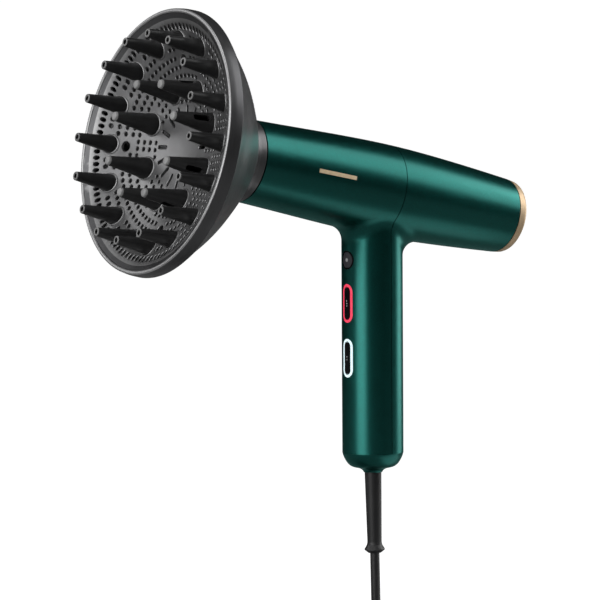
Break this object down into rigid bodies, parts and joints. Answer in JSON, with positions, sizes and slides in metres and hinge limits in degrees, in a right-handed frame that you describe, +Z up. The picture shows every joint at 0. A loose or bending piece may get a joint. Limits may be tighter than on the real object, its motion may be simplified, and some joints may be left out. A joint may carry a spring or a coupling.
{
  "type": "hair dryer",
  "caption": "Slim T-shaped hair dryer with a tapered barrel, round handle with lit control keys, rear inlet ring and a large finger diffuser fitted on the nose.",
  "frame": {"origin": "on the handle's axis, where the hand grips it, 100 mm below the barrel's axis", "axes": "+Z up the handle to the barrel, +X to the air inlet at the rear, -X to the diffuser, Y across"},
  "size_m": [0.2897, 0.1629, 0.4229],
  "materials": {
    "shell_green": "satin metallic paint",
    "gold_trim": "brushed champagne",
    "black_plastic": "fine satin",
    "grey_plastic": "satin",
    "black_gloss": "gloss",
    "clear_tip": "frosted",
    "cord_pvc": "pvc",
    "boot_rubber": "moulded",
    "mount_rubber": "soft",
    "light_red": "lit",
    "light_white": "lit",
    "mica": "mica",
    "nichrome": "wire",
    "steel": "machined",
    "magnet": "nickel plated",
    "copper": "enamelled",
    "pcb": "solder mask",
    "aluminium": "extruded",
    "motor_plastic": "moulded",
    "impeller_alloy": "machined",
    "lead_sleeve": "silicone",
    "component_black": "moulded",
    "led_lens": "clear",
    "mesh_steel": "woven"
  },
  "bodies": {
    "housing": {"front_shell": "shell_green", "rear_shell": "shell_green", "handle_end_cap": "shell_green", "side_badge": "gold_trim", "strain_relief": "boot_rubber", "cord_inner": "cord_pvc", "cord_clamp": "motor_plastic", "clamp_screws": "steel", "cool_shot_bezel": "black_gloss", "heat_light_ring": "light_red", "speed_light_ring": "light_white", "control_board": "pcb", "tact_switches": "component_black", "indicator_leds": "led_lens", "power_board": "pcb", "power_capacitor": "component_black", "heat_sink": "aluminium", "board_screws": "steel", "outlet_spigot": "black_plastic", "outlet_grille": "black_plastic", "heater_sleeve": "mica", "heater_cross": "mica", "heater_coil": "nichrome", "thermal_cutout": "component_black", "motor_housing": "motor_plastic", "motor_end_plate": "motor_plastic", "motor_mount_front": "mount_rubber", "motor_mount_rear": "mount_rubber", "motor_stator": "steel", "motor_windings": "copper", "motor_bearings": "steel", "wiring_loom": "lead_sleeve", "inlet_frame": "black_plastic", "inlet_screws": "steel", "filter_magnets": "magnet", "cord_lead": "cord_pvc", "cord_tail": "cord_pvc", "cord_coil": "cord_pvc", "cord_tie": "black_plastic", "plug_body": "boot_rubber", "plug_pins": "magnet"},
    "rotor": {"motor_shaft": "steel", "rotor_magnet": "magnet", "impeller": "impeller_alloy"},
    "diffuser_mount": {"diffuser_collar": "grey_plastic", "collar_retainer": "black_plastic"},
    "diffuser": {"diffuser_bowl": "grey_plastic", "diffuser_rim": "grey_plastic", "diffuser_plate": "black_plastic", "diffuser_screws": "steel", "outer_fingers": "black_plastic", "inner_fingers": "black_plastic", "finger_tips": "clear_tip"},
    "filter_cover": {"inlet_ring": "gold_trim", "inlet_grille": "black_plastic", "filter_mesh": "mesh_steel"},
    "cool_shot": {"cool_shot_button": "grey_plastic"},
    "heat_key": {"heat_button": "black_gloss"},
    "speed_key": {"speed_button": "black_gloss"}
  },
  "joints": [
    {"name": "fan_spin", "type": "hinge", "parent": "housing", "child": "rotor", "pos_m": [0, 0, 0.1], "axis": [-0.9819, 0, 0.1894], "continuous": true},
    {"name": "diffuser_pull", "type": "slide", "parent": "housing", "child": "diffuser_mount", "axis": [-0.9819, 0, 0.1894], "range_m": [0, 0.06]},
    {"name": "diffuser_turn", "type": "hinge", "parent": "diffuser_mount", "child": "diffuser", "pos_m": [-0.11783, 0, 0.12273], "axis": [-0.9819, 0, 0.1894], "continuous": true},
    {"name": "filter_cover_pull", "type": "slide", "parent": "housing", "child": "filter_cover", "axis": [0.9819, 0, -0.1894], "range_m": [0, 0.03]},
    {"name": "cool_shot_press", "type": "slide", "parent": "housing", "child": "cool_shot", "axis": [1, 0, 0], "range_m": [0, 0.0008], "stiffness_N_per_m": 400, "springref_m": -0.002},
    {"name": "heat_press", "type": "slide", "parent": "housing", "child": "heat_key", "axis": [1, 0, 0], "range_m": [0, 0.0008], "stiffness_N_per_m": 400, "springref_m": -0.002},
    {"name": "speed_press", "type": "slide", "parent": "housing", "child": "speed_key", "axis": [1, 0, 0], "range_m": [0, 0.0008], "stiffness_N_per_m": 400, "springref_m": -0.002}
  ]
}
